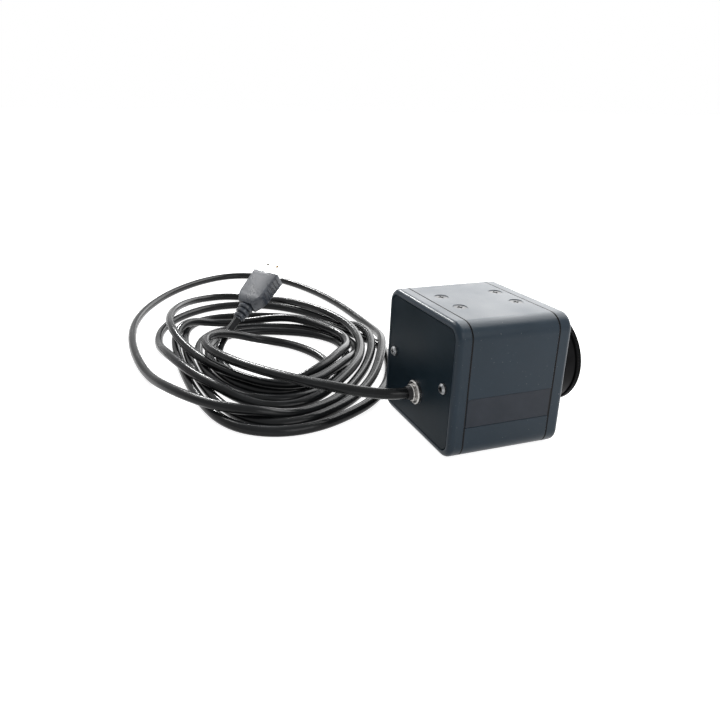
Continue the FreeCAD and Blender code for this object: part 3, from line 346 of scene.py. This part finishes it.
side_gaps = [face for face in grip.faces
             if abs(face.normal.y) > 0.9
             and any(abs(face.calc_center_median().x - start - gap_wide / 2) < gap_wide / 3
                     for start in gap_starts)]
bmesh.ops.inset_individual(grip, faces=side_gaps, thickness=gap_wall, depth=-gap_deep)
end_edges = [edge for edge in grip.edges
             if all(spot.co.x > grip_long - hair for spot in edge.verts)
             or all(spot.co.x < hair for spot in edge.verts)]
round_off(grip, end_edges, end_round, 2)
rib_first, rib_pitch, rib_radius, rib_shrink = 0.0006, 0.0028, 0.0040, 0.00035
groove_deep, rib_round = 0.0011, 0.0003
rib_outline = [(-rib_first, groove_deep), (0, groove_deep), (0.0001, rib_round), (0.0004, 0),
               (0.0014, 0), (0.0018, rib_round), (0.0019, groove_deep)]
relief_profile = [(0.0010, 0.0030), (0.0002, 0.0036)]
for rib in range(3):
    start, out = -rib_first - rib * rib_pitch, rib_radius - rib * rib_shrink
    relief_profile += [(start - along, out - down) for along, down in rib_outline]
relief_profile += [(-0.0084, 0.0024), (-0.0090, 0.0023)]
turn_profile(grip, relief_profile, (1, 0, 0), 40)
bmesh.ops.transform(grip, matrix=plug_place, verts=grip.verts)
plug_grip = add_piece("plug_grip", grip, "camera", 40)
mould, mould_tree, mould_shader = finish_named("plug_pvc", (0.020, 0.027, 0.038), 0.30,
                                               gloss=0.64)
mould_wide = mottle(mould_tree, 0.006)
tint(mould_tree, mould_wide, (0.013, 0.018, 0.027), (0.028, 0.036, 0.050),
     mould_shader.inputs["Base Color"])
spread(mould_tree, mould_wide, 0.24, 0.36, mould_shader.inputs["Roughness"])
roughen(mould_tree, mould_shader, mottle(mould_tree, 0.0006, 2), 0.00012, 1.0)
plug_grip.data.materials.append(mould)
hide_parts("plug_overmold")

bright, bright_tree, bright_shader = finish_named("nickelled_steel", (0.92, 0.92, 0.91), 0.15,
                                                  1.0)
spread(bright_tree, mottle(bright_tree, 0.004), 0.10, 0.24, bright_shader.inputs["Roughness"])
roughen(bright_tree, bright_shader, mottle(bright_tree, 0.002, 3, (1, 1, 6)), 0.00002, 0.4)
tongue_white, tongue_tree, tongue_shader = finish_named("tongue_nylon", (0.80, 0.79, 0.76), 0.45)
spread(tongue_tree, mottle(tongue_tree, 0.002), 0.38, 0.52, tongue_shader.inputs["Roughness"])
gilt, gilt_tree, gilt_shader = finish_named("gold_plate", (0.60, 0.43, 0.19), 0.22, 1.0)
spread(gilt_tree, mottle(gilt_tree, 0.001), 0.16, 0.32, gilt_shader.inputs["Roughness"])


def coat(finish, *nodes):
    """Give carried-over nodes a finish."""
    for node in nodes:
        frame["nodes"][node].data.materials.clear()
        frame["nodes"][node].data.materials.append(finish)


coat(bright, "plug_shell")
coat(tongue_white, "plug_tongue")
coat(gilt, "plug_contacts")

# ---------------------------------------------------------------- table and light
# A plain white table that keeps a faint shadow, in a white room, with five soft boxes: one
# beside the label, one low beyond the housing, a small bright one beyond the coil, one over
# the coil, and a wide one high in front of the lens.

table_reach, table_glow = 60, 0.86
room_unseen, room_seen = 0.26, 1.0
floor_mesh = bmesh.new()
bmesh.ops.create_grid(floor_mesh, x_segments=1, y_segments=1, size=table_reach)
floor_data = bpy.data.meshes.new("table_top")
floor_mesh.to_mesh(floor_data)
floor_mesh.free()
table_top = bpy.data.objects.new("table_top", floor_data)
bpy.context.collection.objects.link(table_top)
table_paint, table_tree, table_shader = finish_named("table_paint", (0.55, 0.55, 0.55), 0.8,
                                                     gloss=0.1)
table_shader.inputs["Emission Color"].default_value = (1, 1, 1, 1)
floor_data.materials.append(table_paint)
table_top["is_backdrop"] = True

room = bpy.data.worlds.new("white_room")
bpy.context.scene.world = room
room.use_nodes = True
room_light = room.node_tree.nodes["Background"]
room_light.inputs["Color"].default_value = (1, 1, 1, 1)


def larger(tree, one, other):
    """The larger of two values."""
    pick = tree.nodes.new("ShaderNodeMath")
    pick.operation = "MAXIMUM"
    tree.links.new(one, pick.inputs[0])
    tree.links.new(other, pick.inputs[1])
    return pick.outputs["Value"]


def seen_level(tree, unseen, seen, socket):
    """One strength for rays that light things and another for rays that see the thing."""
    rays = tree.nodes.new("ShaderNodeLightPath")
    total = rays.outputs["Is Camera Ray"]
    for other in ("Is Glossy Ray", "Is Transmission Ray"):
        total = larger(tree, total, rays.outputs[other])
    spread(tree, total, unseen, seen, socket, 0, 1)


seen_level(table_tree, 0, table_glow, table_shader.inputs["Emission Strength"])
seen_level(room.node_tree, room_unseen, room_seen, room_light.inputs["Strength"])

for name, place, aim, wide, high, power in (
        ("side_box", (-0.80, -0.20, 0.45), (0.00, 0.00, 0.02), 0.60, 0.60, 3.5),
        ("far_box", (0.80, -0.60, 0.36), (0.02, 0.02, 0.04), 0.70, 0.50, 4.1),
        ("spark_box", (0.86, 0.06, 0.62), (0.05, 0.05, 0.02), 0.14, 0.14, 8.0),
        ("coil_box", (0.60, 0.43, 0.86), (0.09, 0.06, 0.02), 0.34, 0.34, 2.9),
        ("top_box", (0.24, -0.66, 0.76), (0.02, 0.02, 0.03), 0.90, 0.60, 12.0)):
    lamp = bpy.data.lights.new(name, "AREA")
    lamp.shape = "RECTANGLE"
    lamp.size, lamp.size_y = wide, high
    lamp.energy = power
    lamp_object = bpy.data.objects.new(name, lamp)
    lamp_object.location = place
    lamp_object.rotation_euler = (Vector(aim) - Vector(place)).to_track_quat("-Z", "Y").to_euler()
    bpy.context.collection.objects.link(lamp_object)

# ---------------------------------------------------------------- housing
# Cast front cap, extruded sleeve and rear bezel: aluminium under a thin satin black coat
# with a blue cast. Fine pale specks stand on it, and the two seams are painted near black as shade
# in their grooves.

satin, satin_tree, satin_shader = finish_named("satin_black_coat", (0.015, 0.027, 0.040), 0.36,
                                               gloss=0.18)
satin_wide = mottle(satin_tree, 0.018, 3)
spread(satin_tree, satin_wide, 0.30, 0.40, satin_shader.inputs["Roughness"])
specks = satin_tree.nodes.new("ShaderNodeMix")
specks.data_type = "RGBA"
specks.inputs["B"].default_value = (0.10, 0.11, 0.12, 1)
spread(satin_tree, mottle(satin_tree, 0.0006, 1), 0, 1, specks.inputs["Factor"], 0.76, 0.80)
tint(satin_tree, satin_wide, (0.012, 0.023, 0.034), (0.018, 0.031, 0.046),
     specks.inputs["A"], 0, 1)
roughen(satin_tree, satin_shader, mottle(satin_tree, 0.0004, 2), 0.00003, 0.5)
# Painted shade: a thin band at each seam is coloured near black, standing in for the shade in the
# seam grooves.
seam_place = satin_tree.nodes.new("ShaderNodeTexCoord")
seam_split = satin_tree.nodes.new("ShaderNodeSeparateXYZ")
satin_tree.links.new(seam_place.outputs["Object"], seam_split.inputs["Vector"])
sleeve_low, sleeve_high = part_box("body_sleeve")
seam_reach = 0.00032
near_seams = []
for station in (sleeve_low[1], sleeve_high[1]):
    near_seam = satin_tree.nodes.new("ShaderNodeMath")
    near_seam.operation = "COMPARE"
    near_seam.inputs[1].default_value = station
    near_seam.inputs[2].default_value = seam_reach
    satin_tree.links.new(seam_split.outputs["Y"], near_seam.inputs[0])
    near_seams.append(near_seam.outputs["Value"])
seam_painted_shade = satin_tree.nodes.new("ShaderNodeMix")
seam_painted_shade.data_type = "RGBA"
seam_painted_shade.inputs["B"].default_value = (0.002, 0.002, 0.003, 1)
satin_tree.links.new(larger(satin_tree, *near_seams), seam_painted_shade.inputs["Factor"])
satin_tree.links.new(specks.outputs["Result"], seam_painted_shade.inputs["A"])
satin_tree.links.new(seam_painted_shade.outputs["Result"], satin_shader.inputs["Base Color"])
coat(satin, "front_cap", "body_sleeve", "rear_bezel")

# ---------------------------------------------------------------- rear plate
# Flat aluminium sheet sunk into the bezel, anodised a smooth blue black that mirrors less
# than the coat round it.

sheet_black, sheet_tree, sheet_shader = finish_named("anodised_sheet", (0.008, 0.016, 0.023),
                                                     0.34, gloss=0.05)
sheet_wide = mottle(sheet_tree, 0.02, 3)
tint(sheet_tree, sheet_wide, (0.005, 0.012, 0.018), (0.011, 0.020, 0.028),
     sheet_shader.inputs["Base Color"])
spread(sheet_tree, sheet_wide, 0.30, 0.40, sheet_shader.inputs["Roughness"])
roughen(sheet_tree, sheet_shader, mottle(sheet_tree, 0.0005, 2), 0.00001, 0.5)
coat(sheet_black, "rear_plate")

# ---------------------------------------------------------------- label band
# Thin plastic strip let into the side of the sleeve and glued there. It is left bare: a
# smooth black, less blue than the coat round it.

band, band_tree, band_shader = finish_named("label_film", (0.022, 0.027, 0.037), 0.32, gloss=0.16)
band_wide = mottle(band_tree, 0.009, 3)
tint(band_tree, band_wide, (0.018, 0.023, 0.032), (0.026, 0.031, 0.042),
     band_shader.inputs["Base Color"])
spread(band_tree, band_wide, 0.28, 0.38, band_shader.inputs["Roughness"])
roughen(band_tree, band_shader, mottle(band_tree, 0.0012, 2), 0.00001, 0.4)
coat(band, "label_strip")

# ---------------------------------------------------------------- screws
# Blackened countersunk screws in the top and the base, and a headless one that locks the
# focus ring. Domed steel screws: two long ones clamp the housing from behind, small ones
# hold the boards.

blackened, blackened_tree, blackened_shader = finish_named(
    "blackened_steel", (0.05, 0.052, 0.056), 0.38, 0.85)
blackened_wear = mottle(blackened_tree, 0.0009, 3)
tint(blackened_tree, blackened_wear, (0.014, 0.015, 0.017), (0.060, 0.063, 0.067),
     blackened_shader.inputs["Base Color"], 0.42, 0.72)
spread(blackened_tree, blackened_wear, 0.30, 0.48, blackened_shader.inputs["Roughness"])
roughen(blackened_tree, blackened_shader, mottle(blackened_tree, 0.0003, 2), 0.00002, 0.5)
coat(blackened, "top_screws", "base_screws", "ring_lock_screw")

steel, steel_tree, steel_shader = finish_named("dull_steel", (0.20, 0.205, 0.21), 0.26, 1.0)
steel_wear = mottle(steel_tree, 0.0012, 3)
tint(steel_tree, steel_wear, (0.12, 0.125, 0.13), (0.30, 0.305, 0.31),
     steel_shader.inputs["Base Color"])
spread(steel_tree, steel_wear, 0.24, 0.40, steel_shader.inputs["Roughness"])
roughen(steel_tree, steel_shader, mottle(steel_tree, 0.0003, 2), 0.00002, 0.4)
coat(steel, "rear_plate_screws", "board_screws")

# ---------------------------------------------------------------- gland
# Nickelled brass bushing through the rear plate, held by a nut inside, with a soft rubber
# boot moulded on the lead where it comes out. The lead's jacket ends inside the housing.

nickel, nickel_tree, nickel_shader = finish_named("nickelled_brass", (0.36, 0.35, 0.34), 0.22, 1.0)
nickel_wear = mottle(nickel_tree, 0.0016, 3)
tint(nickel_tree, nickel_wear, (0.22, 0.215, 0.21), (0.48, 0.47, 0.455),
     nickel_shader.inputs["Base Color"])
spread(nickel_tree, nickel_wear, 0.16, 0.34, nickel_shader.inputs["Roughness"])
roughen(nickel_tree, nickel_shader, mottle(nickel_tree, 0.0005, 2), 0.00002, 0.4)
coat(nickel, "gland_bushing", "gland_nut")

rubber, rubber_tree, rubber_shader = finish_named("boot_rubber", (0.012, 0.012, 0.013), 0.6,
                                                  gloss=0.3)
rubber_wide = mottle(rubber_tree, 0.002, 3)
tint(rubber_tree, rubber_wide, (0.009, 0.009, 0.010), (0.018, 0.018, 0.019),
     rubber_shader.inputs["Base Color"])
spread(rubber_tree, rubber_wide, 0.52, 0.68, rubber_shader.inputs["Roughness"])
roughen(rubber_tree, rubber_shader, mottle(rubber_tree, 0.0004, 2), 0.00003, 0.6)
coat(rubber, "cable_boot")
coat(pvc, "inner_lead")

# ---------------------------------------------------------------- focus ring
# Turned aluminium ring, anodised deep black. The lens screws into it; its rim is knurled
# for the fingers and it turns in the front cap to set the back focus.

ring_low, ring_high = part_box("back_focus_ring")
rim_station, ring_end = ring_low[1], ring_high[1]
rim_radius = (ring_high[0] - ring_low[0]) / 2
ring_centre = Vector((0, 0, (ring_low[2] + ring_high[2]) / 2))
knurl_end, thread_end = rim_station + 0.0019, rim_station + 0.0045
spigot_start = rim_station + 0.0069
waist_radius, spigot_radius, baffle_radius = 0.0178, 0.01445, 0.0110
bore_radius, mouth_flare, lead_in = 0.01235, 0.0007, 0.0003
thread_depth, thread_pitch, thread_rings, thread_runout = 0.0004, 0.000794, 5, 0.0002
crown, undercut, waist_bevel = 0.0004, 0.0003, 0.0002
ring_profile = [(rim_station + lead_in, bore_radius + thread_depth),
                (rim_station, bore_radius + mouth_flare),
                (rim_station, rim_radius - 0.00045), (rim_station + 0.00015, rim_radius - 0.00015),
                (rim_station + crown, rim_radius), (knurl_end, rim_radius),
                (knurl_end + 0.0002, rim_radius - 0.0002),
                (knurl_end + 0.0003, waist_radius - undercut),
                (knurl_end + 0.0008, waist_radius - undercut),
                (knurl_end + 0.0009, waist_radius),
                (spigot_start - waist_bevel, waist_radius),
                (spigot_start, waist_radius - waist_bevel),
                (spigot_start, spigot_radius), (ring_end - lead_in, spigot_radius),
                (ring_end, spigot_radius - lead_in), (ring_end, baffle_radius),
                (thread_end, baffle_radius), (thread_end, bore_radius)]
for turn in range(thread_rings):
    crest = thread_end - thread_runout - turn * thread_pitch
    ring_profile += [(crest - thread_pitch / 2, bore_radius + thread_depth),
                     (crest - thread_pitch, bore_radius)]
ring_profile.append(ring_profile[0])
ring_facets, groove_wall, knurl_deep, knurl_reach = 216, 0.00010, 0.00022, 0.0003
ring_mesh = bmesh.new()
turn_profile(ring_mesh, ring_profile, (0, 1, 0), ring_facets, ring_centre)
bmesh.ops.remove_doubles(ring_mesh, verts=ring_mesh.verts, dist=hair)
bmesh.ops.recalc_face_normals(ring_mesh, faces=ring_mesh.faces)
knurl_middle = (rim_station + crown + knurl_end) / 2
knurl_grooves = []
for face in ring_mesh.faces:
    middle = face.calc_center_median() - ring_centre
    facet = math.atan2(middle.x, middle.z) / math.tau * ring_facets
    if (abs(middle.y - knurl_middle) < knurl_reach and middle.xz.length > waist_radius
            and round(facet - 0.5) % 2 == 0):
        knurl_grooves.append(face)
bmesh.ops.inset_individual(ring_mesh, faces=knurl_grooves, thickness=groove_wall,
                           depth=-knurl_deep)
focus_ring = add_piece("focus_ring_turned", ring_mesh, "focus_ring", 24)
anodised, anodised_tree, anodised_shader = finish_named(
    "black_anodising", (0.005, 0.005, 0.0055), 0.34, gloss=0.04)
anodised_wide = mottle(anodised_tree, 0.006, 3)
tint(anodised_tree, anodised_wide, (0.004, 0.004, 0.0045), (0.007, 0.007, 0.0075),
     anodised_shader.inputs["Base Color"])
spread(anodised_tree, anodised_wide, 0.28, 0.42, anodised_shader.inputs["Roughness"])
roughen(anodised_tree, anodised_shader, mottle(anodised_tree, 0.0002, 2, (1, 5, 1)), 0.00001, 0.5)
focus_ring.data.materials.append(anodised)
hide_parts("back_focus_ring")

# ---------------------------------------------------------------- nut plates
# Plain aluminium plate behind the top screws, and a brass plate in the base whose boss is
# threaded for a tripod. The boards' spacers are turned from the same brass.

mill, mill_tree, mill_shader = finish_named("milled_aluminium", (0.62, 0.63, 0.64), 0.36, 1.0)
mill_lines = mottle(mill_tree, 0.0006, 3, (1, 12, 1))
spread(mill_tree, mill_lines, 0.28, 0.48, mill_shader.inputs["Roughness"])
tint(mill_tree, mottle(mill_tree, 0.006), (0.54, 0.55, 0.56), (0.68, 0.69, 0.70),
     mill_shader.inputs["Base Color"])
roughen(mill_tree, mill_shader, mill_lines, 0.00002, 0.4)
coat(mill, "top_nut_plate")

brass, brass_tree, brass_shader = finish_named("turned_brass", (0.62, 0.47, 0.22), 0.30, 1.0)
brass_wide = mottle(brass_tree, 0.004)
tint(brass_tree, brass_wide, (0.48, 0.34, 0.14), (0.70, 0.54, 0.27),
     brass_shader.inputs["Base Color"])
spread(brass_tree, brass_wide, 0.24, 0.42, brass_shader.inputs["Roughness"])
roughen(brass_tree, brass_shader, mottle(brass_tree, 0.0004, 3, (1, 1, 8)), 0.00002, 0.5)
coat(brass, "tripod_plate", "board_spacers")

# ---------------------------------------------------------------- circuit boards
# Two green glass-fibre boards with paler tracks under the lacquer, joined by a black
# connector, with moulded chips and the lead's ivory socket soldered on the back one. The
# filter's holder is moulded from the same black resin.

board_green, board_tree, board_shader = finish_named("green_lacquer", (0.012, 0.09, 0.03), 0.3)
track_place = board_tree.nodes.new("ShaderNodeTexCoord")
track_turn = board_tree.nodes.new("ShaderNodeMapping")
track_turn.inputs["Rotation"].default_value = (math.radians(90), 0, 0)
track_rows = board_tree.nodes.new("ShaderNodeTexBrick")
track_rows.inputs["Scale"].default_value = 260
track_rows.inputs["Mortar Size"].default_value = 0.045
track_rows.inputs["Mortar Smooth"].default_value = 0.2
track_rows.inputs["Color1"].default_value = (0.010, 0.075, 0.026, 1)
track_rows.inputs["Color2"].default_value = (0.014, 0.10, 0.035, 1)
track_rows.inputs["Mortar"].default_value = (0.045, 0.22, 0.075, 1)
board_tree.links.new(track_place.outputs["Object"], track_turn.inputs["Vector"])
board_tree.links.new(track_turn.outputs["Vector"], track_rows.inputs["Vector"])
board_tree.links.new(track_rows.outputs["Color"], board_shader.inputs["Base Color"])
spread(board_tree, mottle(board_tree, 0.005), 0.24, 0.38, board_shader.inputs["Roughness"])
roughen(board_tree, board_shader, track_rows.outputs["Fac"], 0.00003, 0.6)
coat(board_green, "sensor_board", "usb_board")

resin, resin_tree, resin_shader = finish_named("chip_resin", (0.016, 0.016, 0.017), 0.5, gloss=0.35)
resin_wide = mottle(resin_tree, 0.0015)
tint(resin_tree, resin_wide, (0.012, 0.012, 0.013), (0.022, 0.022, 0.023),
     resin_shader.inputs["Base Color"])
spread(resin_tree, resin_wide, 0.42, 0.60, resin_shader.inputs["Roughness"])
roughen(resin_tree, resin_shader, mottle(resin_tree, 0.0002, 2), 0.00002, 0.7)
coat(resin, "video_processor", "memory_chips", "board_link", "filter_holder")

ivory, ivory_tree, ivory_shader = finish_named("connector_nylon", (0.72, 0.69, 0.60), 0.45)
ivory_wide = mottle(ivory_tree, 0.003)
tint(ivory_tree, ivory_wide, (0.64, 0.61, 0.52), (0.76, 0.73, 0.65),
     ivory_shader.inputs["Base Color"])
spread(ivory_tree, ivory_wide, 0.38, 0.54, ivory_shader.inputs["Roughness"])
coat(ivory, "lead_socket", "lead_plug")

# ---------------------------------------------------------------- wires
# Four thin PVC cores from the lead to its plug on the board, two over two: each quarter of
# the bundle has its own colour, black, green, red or white.

cores, cores_tree, cores_shader = finish_named("wire_pvc", (0.5, 0.5, 0.5), 0.4)
core_place = cores_tree.nodes.new("ShaderNodeTexCoord")
core_split = cores_tree.nodes.new("ShaderNodeSeparateXYZ")
cores_tree.links.new(core_place.outputs["Object"], core_split.inputs["Vector"])
wire_low, wire_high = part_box("lead_wires")
core_rows = []
wire_middle = [(near + far) / 2 for near, far in zip(wire_low, wire_high)]
for axis, middle in (("X", wire_middle[0]), ("Z", wire_middle[2])):
    side = cores_tree.nodes.new("ShaderNodeMath")
    side.operation = "GREATER_THAN"
    side.inputs[1].default_value = middle
    cores_tree.links.new(core_split.outputs[axis], side.inputs[0])
    core_rows.append(side.outputs["Value"])
core_pairs = []
core_red, core_white = (0.45, 0.02, 0.02), (0.75, 0.74, 0.70)
core_black, core_green = (0.02, 0.02, 0.022), (0.02, 0.25, 0.06)
for left, right in ((core_red, core_white), (core_black, core_green)):
    pair = cores_tree.nodes.new("ShaderNodeMix")
    pair.data_type = "RGBA"
    pair.inputs["A"].default_value = (*left, 1)
    pair.inputs["B"].default_value = (*right, 1)
    cores_tree.links.new(core_rows[0], pair.inputs["Factor"])
    core_pairs.append(pair.outputs["Result"])
both = cores_tree.nodes.new("ShaderNodeMix")
both.data_type = "RGBA"
cores_tree.links.new(core_rows[1], both.inputs["Factor"])
cores_tree.links.new(core_pairs[0], both.inputs["A"])
cores_tree.links.new(core_pairs[1], both.inputs["B"])
cores_tree.links.new(both.outputs["Result"], cores_shader.inputs["Base Color"])
spread(cores_tree, mottle(cores_tree, 0.002), 0.34, 0.48, cores_shader.inputs["Roughness"])
coat(cores, "lead_wires")

# ---------------------------------------------------------------- sensor and filter
# The sensor chip in its dark frame, and the infrared filter before it: thin glass with a
# pale cyan body and a faint red sheen.

chip, chip_tree, chip_shader = finish_named("sensor_face", (0.05, 0.055, 0.07), 0.16, 0.4)
chip_wide = mottle(chip_tree, 0.004)
tint(chip_tree, chip_wide, (0.03, 0.035, 0.05), (0.07, 0.06, 0.09),
     chip_shader.inputs["Base Color"])
spread(chip_tree, chip_wide, 0.10, 0.22, chip_shader.inputs["Roughness"])
coat(chip, "image_sensor")

glass, glass_tree, glass_shader = finish_named("filter_glass", (0.62, 0.88, 0.90), 0.03)
glass_shader.inputs["Transmission Weight"].default_value = 1.0
glass_shader.inputs["IOR"].default_value = 1.5
glass_shader.inputs["Coat Weight"].default_value = 0.5
glass_shader.inputs["Coat Tint"].default_value = (1.0, 0.55, 0.62, 1)
tint(glass_tree, mottle(glass_tree, 0.005), (0.58, 0.86, 0.88), (0.66, 0.90, 0.92),
     glass_shader.inputs["Base Color"])
spread(glass_tree, mottle(glass_tree, 0.003), 0.02, 0.06, glass_shader.inputs["Roughness"])
coat(glass, "ir_filter")

# ---------------------------------------------------------------- size and end
# The box of all that is shown, in metres.

low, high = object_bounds()
